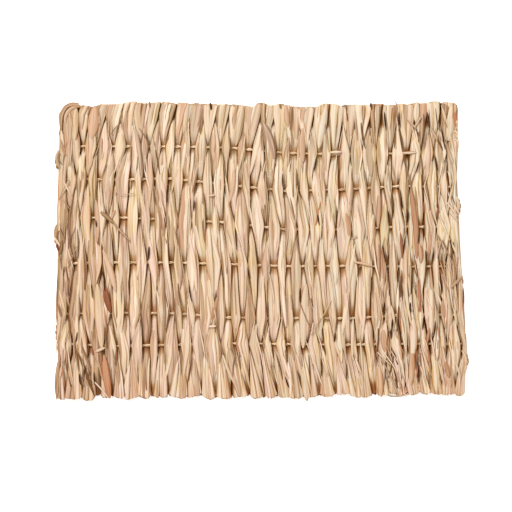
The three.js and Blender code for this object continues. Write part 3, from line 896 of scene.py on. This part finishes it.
class Finish:
    """A material under construction."""

    def __init__(self, name):
        self.material = bpy.data.materials.new(name)
        self.material.use_nodes = True
        self.tree = self.material.node_tree
        self.shader = self.tree.nodes["Principled BSDF"]

    def node(self, kind, settings=None, output=0, **sockets):
        node = self.tree.nodes.new(kind)
        for key, value in (settings or {}).items():
            setattr(node, key, value)
        for key, value in sockets.items():
            self.feed(node.inputs[key.replace("_", " ")], value)
        return Amount(self.tree, node.outputs[output])

    def parts(self, vector):
        node = self.node("ShaderNodeSeparateXYZ", Vector=vector).socket.node
        return [Amount(self.tree, output) for output in node.outputs]

    def noise(self, x, y, z=0.0, detail=2.0, roughness=0.5):
        place = self.node("ShaderNodeCombineXYZ", X=x, Y=y, Z=z)
        return self.node("ShaderNodeTexNoise", Vector=place, Scale=1.0, Detail=detail, Roughness=roughness)

    def feed(self, socket, value):
        if isinstance(value, Amount):
            self.tree.links.new(value.socket, socket)
        else:
            socket.default_value = value

    def ramp(self, factor, stops):
        node = self.tree.nodes.new("ShaderNodeValToRGB")
        elements = node.color_ramp.elements
        while len(elements) < len(stops):
            elements.new(0.5)
        for element, (place, colour) in zip(elements, stops):
            element.position = place
            element.color = (*colour, 1)
        self.feed(node.inputs[0], factor)
        return Amount(self.tree, node.outputs[0])

    def mix(self, factor, first, second, blend="MIX"):
        node = self.tree.nodes.new("ShaderNodeMix")
        node.data_type = "RGBA"
        node.blend_type = blend
        for place, value in zip((0, 6, 7), (factor, first, second)):
            if isinstance(value, tuple):
                value = (*value, 1)
            self.feed(node.inputs[place], value)
        return Amount(self.tree, node.outputs[2])


LEAF_TONES = (
    # place on the tone scale, colour
    (0.00, (0.532, 0.455, 0.377)),
    (0.20, (0.513, 0.427, 0.345)),
    (0.38, (0.484, 0.391, 0.305)),
    (0.52, (0.424, 0.325, 0.242)),
    (0.62, (0.333, 0.235, 0.159)),
    (0.69, (0.225, 0.140, 0.080)),
    (0.75, (0.130, 0.068, 0.030)),
    # From here to 0.79: painted shadow of the gaps, near black.
    (0.765, (0.110, 0.052, 0.022)),
    (0.78, (0.042, 0.015, 0.005)),
    (0.79, (0.042, 0.015, 0.005)),
    (0.805, (0.440, 0.318, 0.240)),
    (0.87, (0.350, 0.215, 0.142)),
    (0.93, (0.350, 0.160, 0.092)),
    (1.00, (0.125, 0.038, 0.018)),
)
PINK_TINT = (0.985, 0.915, 1.0)
GREY_TINT = (0.92, 0.99, 1.0)
STRAW_TINT = (1.0, 0.985, 0.79)
# How fine the grain is across a leaf and along it: fibres, broader streaks, and single dark lines, which
# paint the shade between overlapping leaves.
FIBRE_GRAIN = (3.2, 0.35)
STREAK_GRAIN = (0.9, 0.3)
LINE_GRAIN = (0.5, 0.16)
# The same for slow changes of colour over the mat, across it and up it.
PATCH_GRAIN = (150.0, 45.0)
# What each takes from a leaf's colour: the darker fibres of its grain, and the painted shade of the dark
# lines between leaves, of its edges and of its round.
FIBRE_DARKENING = 0.11
LINE_SHADE = 0.15
EDGE_SHADE = 0.34
ROUND_SHADE = 0.2
# A leaf this many millimetres up gets no painted shade from depth; lower down it gets more, as if in the
# shade of those beside it.
DEEP_BELOW = 2.9
# Along the mat's rim the painted depth shade is partly lifted, as light reaches in from outside: where that
# starts, in metres, and how fast it grows.
SIDE_BAND = (0.1365, 250.0)
END_BAND = (0.1005, 250.0)
RIM_LIGHT = 0.6
# How strongly the painted shade of the gaps and lines shows, from the left edge of the mat to the right.
CONTRAST = ((0.0, 0.86), (0.12, 0.76), (0.3, 0.7), (0.5, 0.78), (0.7, 0.82), (0.8, 1.0), (1.0, 1.0))
# The same from the foot of the mat to its head, as a factor.
UP_CONTRAST = (
    (0.0, 1.4), (0.12, 1.35), (0.22, 1.08), (0.5, 1.0), (0.8, 0.9), (0.9, 0.95), (1.0, 1.15))
# From metres to a share of the mat's width and of its height.
WIDTH_SHARE = 3.4
HEIGHT_SHARE = 4.6


def leaf_finish(name, deepest):
    """Dried leaf: pale cream to tan blades with fine lengthwise fibres, and painted shade at their edges,
    in lines between leaves, over each leaf's round and deep in the weave.
    """
    leaf = Finish(name)

    def own_number(shift):
        """A number from 0 to 1 that each leaf has for itself."""
        return leaf.node("ShaderNodeTexWhiteNoise", {"noise_dimensions": "1D"}, W=number + shift)

    def strength(place, line):
        return leaf.ramp(place + 0.5, [(at, (level, level, level)) for at, level in line])

    chart_u, lengthwise, _ = leaf.parts(leaf.node("ShaderNodeUVMap", {"uv_map": "blade"}))
    number = chart_u.combine("FLOOR", 0.0)
    across = chart_u - number - 0.5
    own_tone = leaf.node("ShaderNodeAttribute", {"attribute_name": "tone"}, output=2)
    breadth = leaf.node("ShaderNodeAttribute", {"attribute_name": "breadth"}, output=2)
    x, up, height = leaf.parts(leaf.node("ShaderNodeTexCoord", output=3))

    cross = across * breadth
    seed, second_seed, straw_seed = own_number(0.5), own_number(71.5), own_number(143.5)
    fibre = leaf.noise(cross * FIBRE_GRAIN[0], lengthwise * FIBRE_GRAIN[1], seed * 90.0)
    streak = leaf.noise(cross * STREAK_GRAIN[0], lengthwise * STREAK_GRAIN[1], seed * 57.0)
    line = leaf.noise(cross * LINE_GRAIN[0], lengthwise * LINE_GRAIN[1], second_seed * 71.0, detail=1.0)
    line = (1.0 - (line - 0.5).size() * 16.0).clamped()

    # Colour: the leaf's own tone, streaked, then pinker, greyer or more like straw from place to place.
    free = ((0.73 - own_tone) * 12.0).clamped() * 0.93 + 0.07
    colour = leaf.ramp((own_tone + (streak - 0.5) * 0.5 * free).clamped(), LEAF_TONES)
    warmth = leaf.noise(x * PATCH_GRAIN[0], up * PATCH_GRAIN[1], roughness=0.6)
    warmth = (warmth - 0.5) * 2.0 + (second_seed - 0.5) * 0.5 + 0.5 - x * 0.7 - up * 1.4
    straw = leaf.noise(x * PATCH_GRAIN[0], up * PATCH_GRAIN[1], 7.5, roughness=0.6)
    straw = (straw - 0.5) * 2.0 + (straw_seed - 0.5) * 0.5
    for amount, most, tint in (
        (warmth - 0.54, 0.9, PINK_TINT),
        (0.44 - warmth, 0.9, GREY_TINT),
        (straw - 0.06, 0.8, STRAW_TINT),
    ):
        colour = leaf.mix((amount * 3.0).clamped() * most * free, colour, tint, blend="MULTIPLY")

    # Painted light and shade, multiplied into the colour: less at the edges, over the round of each leaf,
    # in the lines and deep down, and warmer as it gets less.
    aside = across.size() * 2.0
    edge = ((aside - 0.62) * 3.0).clamped() * ((streak - 0.36) * 4.0).clamped()
    near_side = ((x.size() - SIDE_BAND[0]) * SIDE_BAND[1]).clamped()
    near_end = ((up.size() - END_BAND[0]) * END_BAND[1]).clamped()
    open_share = (height * (1000 / DEEP_BELOW)).clamped() ** 1.2
    open_share = open_share.combine("MAXIMUM", near_side.combine("MAXIMUM", near_end) * RIM_LIGHT)
    light = (1.0 - (aside ** 2.5) * ROUND_SHADE) * (1.0 - edge * EDGE_SHADE) * (1.0 - line * LINE_SHADE)
    light = light * (1.0 - ((0.5 - fibre) * 2.4).clamped() * FIBRE_DARKENING)
    light = light * (open_share * (1 - deepest) + deepest)
    contrast = strength(x * WIDTH_SHARE, CONTRAST) * strength(up * HEIGHT_SHARE, UP_CONTRAST)
    light = (1.0 - (1.0 - light) * contrast).combine("MAXIMUM", 0.03)
    # Painted shade goes warmer as it darkens: green and blue fall faster than red.
    painted_shade_tint = leaf.node("ShaderNodeCombineColor", Red=light, Green=light ** 1.9, Blue=light ** 3.1)
    leaf.feed(leaf.shader.inputs["Base Color"], leaf.mix(1.0, colour, painted_shade_tint, blend="MULTIPLY"))

    leaf.shader.inputs["Specular IOR Level"].default_value = 0.03
    leaf.feed(leaf.shader.inputs["Roughness"], 0.66 - fibre * 0.2)
    relief = leaf.node("ShaderNodeBump", Strength=0.4, Distance=0.0003, Height=fibre - line * 0.4)
    leaf.feed(leaf.shader.inputs["Normal"], relief)
    return leaf.material


# The leaves under the bundles get a copy of the leaf material whose painted depth shade goes darker.
SHADED_PIECES = ("under_leaves", "lowest_leaves")
leaf_material = leaf_finish("dry_leaf", 0.16)
under_material = leaf_finish("shaded_leaf", 0.04)
for piece_name, leaf_piece in leaf_pieces.items():
    leaf_piece.data.materials.clear()
    leaf_piece.data.materials.append(under_material if piece_name in SHADED_PIECES else leaf_material)
    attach(leaf_piece, "root")
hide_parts("woven_strands")


# The weaving cord: two plies of twisted grass, laid back and forth through the bundles in six rows.
# It turns round the outer bundle at each edge, and both of its tails lie along the right edge.
CORD_HEIGHT = 2.35
CORD_SWAY = 0.25
TURN_HUG = -1.6
# Where a turn stands out from the edge: side (0 left, 1 right), height up the mat, half its length,
# reach, and how far it is lifted.
TURN_BUMPS = (
    (0, 62.5, 8.5, 2.6, 0.4),
    (0, 9, 10.5, 2.4, 0.4),
    (0, -60.5, 8.5, 2.2, 0.4),
    (1, 84, 15, 0.8, 2.1),
    (1, 31, 8, 2.5, 0.4),
    (1, -21.5, 6, 1.6, 0.8),
    (1, -79, 8.5, 2, 0.8),
)
PLY_RADIUS = 0.5
PLY_OFFSET = 0.44
PLY_TWIST = 8.0
TURN_POINTS = 28
ROW_INSET = 0.004
TURN_GAP = 0.4
TAIL_LENGTHS = (27.0, 15.0)
CORD_STEP = 0.8


def cord_route():
    """Points on the cord's middle line, close together, from its top tail to its bottom tail."""
    points = []

    def turn(side, start, end):
        for up in np.linspace(start, end, TURN_POINTS):
            left, right = edge_places(up)
            reach, height = TURN_HUG, CORD_HEIGHT
            for bump_side, middle, half_length, swell, lift in TURN_BUMPS:
                if bump_side == side:
                    share = math.exp(-(((up - middle) / (half_length * 0.7)) ** 4))
                    reach, height = reach + swell * share, height + lift * share
            points.append((right + reach if side else left - reach, up, height))

    turn(1, row_height(0, 1.0) + TAIL_LENGTHS[0], row_height(0, 1.0) + TURN_GAP)
    for k in range(len(CORD_ROWS)):
        leftward = k % 2 == 0
        for step in np.linspace(ROW_INSET, 1 - ROW_INSET, BUNDLES * 4):
            share = 1 - step if leftward else step
            up = row_height(k, share)
            left, right = edge_places(up)
            bundle = min(int(share * BUNDLES), BUNDLES - 1)
            phase = weave_phase(bundle, np.array([up]))[0]
            points.append((left + (right - left) * share, up, CORD_HEIGHT - CORD_SWAY * phase))
        side = 0 if leftward else 1
        here = row_height(k, side)
        end = here - TAIL_LENGTHS[1]
        if k + 1 < len(CORD_ROWS):
            end = row_height(k + 1, side) + TURN_GAP
        turn(side, here - TURN_GAP, end)
    route = np.array(points)
    gaps = np.linalg.norm(np.diff(route, axis=0), axis=1)
    walked = np.concatenate(([0.0], np.cumsum(gaps)))
    even = np.arange(0, walked[-1], CORD_STEP)
    route = np.stack([np.interp(even, walked, route[:, axis]) for axis in range(3)], axis=1)
    soft = route.copy()
    for _ in range(2):
        soft[1:-1] = (soft[:-2] + soft[1:-1] + soft[2:]) / 3
    return soft


route = cord_route()
heading = np.gradient(route, axis=0)
heading /= np.linalg.norm(heading, axis=1)[:, None]
sideways = np.stack((-heading[:, 1], heading[:, 0], np.zeros(len(heading))), axis=1)
plies = []
edge_left, edge_right = edge_places(route[:, 1])
outside = np.clip(np.maximum(edge_left - route[:, 0], route[:, 0] - edge_right) / 0.7 + 0.4, 0, 1)
swollen = 1.12 + 0.8 * outside + 0.12 * np.sin(route[:, 0] * 0.9 + route[:, 1])
for ply in range(2):
    angle = 2 * math.pi * np.arange(len(route)) * CORD_STEP / PLY_TWIST + math.pi * ply
    ply_route = route + (PLY_OFFSET * swollen * np.cos(angle))[:, None] * sideways
    ply_route[:, 2] += PLY_OFFSET * swollen * np.sin(angle)
    ply_points = np.c_[laid_out(ply_route), np.ones(len(ply_route))]
    ply_curve = bpy.data.curves.new(f"ply_{ply}", "CURVE")
    ply_curve.dimensions = "3D"
    ply_curve.bevel_depth = PLY_RADIUS * MM
    ply_curve.bevel_resolution = 1
    ply_curve.use_fill_caps = True
    spline = ply_curve.splines.new("POLY")
    spline.points.add(len(ply_route) - 1)
    spline.points.foreach_set("co", ply_points.astype(np.float32).ravel())
    spline.points.foreach_set("radius", swollen.astype(np.float32))
    ply_object = bpy.data.objects.new(f"ply_{ply}", ply_curve)
    bpy.context.scene.collection.objects.link(ply_object)
    select_only([ply_object])
    bpy.ops.object.convert(target="MESH")
    plies.append(bpy.context.object)
cord = join_pieces(plies, "twisted_cord")
places = points_of(cord) / MM - np.array((*LAID_OUT_SHIFT, 0.0))
edge_left, edge_right = edge_places(places[:, 1])
outside = np.clip(np.maximum(edge_left - places[:, 0], places[:, 0] - edge_right) + 1, 0, 1)
set_amounts(cord, "turned", outside)
bpy.ops.object.shade_smooth_by_angle(angle=math.radians(60))


def cord_finish():
    """Twisted grass: cream to straw coloured, darker brown where it turns round the edges, with fine fibres
    along the plies.
    """
    twist = Finish("twisted_grass")
    place = twist.node("ShaderNodeTexCoord", output=3)
    patch = twist.node("ShaderNodeTexNoise", Vector=place, Scale=90.0, Detail=2.0)
    tone = twist.ramp(patch, (
        (0.30, (0.36, 0.22, 0.11)),
        (0.48, (0.52, 0.36, 0.21)),
        (0.70, (0.61, 0.46, 0.31)),
    ))
    grain = twist.node("ShaderNodeTexNoise", Vector=place, Scale=2600.0, Detail=2.0)
    turned = twist.node("ShaderNodeAttribute", {"attribute_name": "turned"}, output=2)
    # Darker and browner where the cord turns round the edges of the mat.
    turn_colour = twist.ramp(patch, (
        (0.36, (0.15, 0.078, 0.036)),
        (0.50, (0.31, 0.195, 0.110)),
        (0.66, (0.43, 0.315, 0.205)),
    ))
    tone = twist.mix(turned, tone, turn_colour)
    colour = twist.mix((0.6 - grain).clamped(), tone, (0.26, 0.14, 0.06))
    twist.feed(twist.shader.inputs["Base Color"], colour)
    twist.shader.inputs["Roughness"].default_value = 0.7
    relief = twist.node("ShaderNodeBump", Strength=0.5, Distance=0.0002, Height=grain)
    twist.feed(twist.shader.inputs["Normal"], relief)
    return twist.material


cord.data.materials.clear()
cord.data.materials.append(cord_finish())
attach(cord, "root")
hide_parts("weaving_cord")
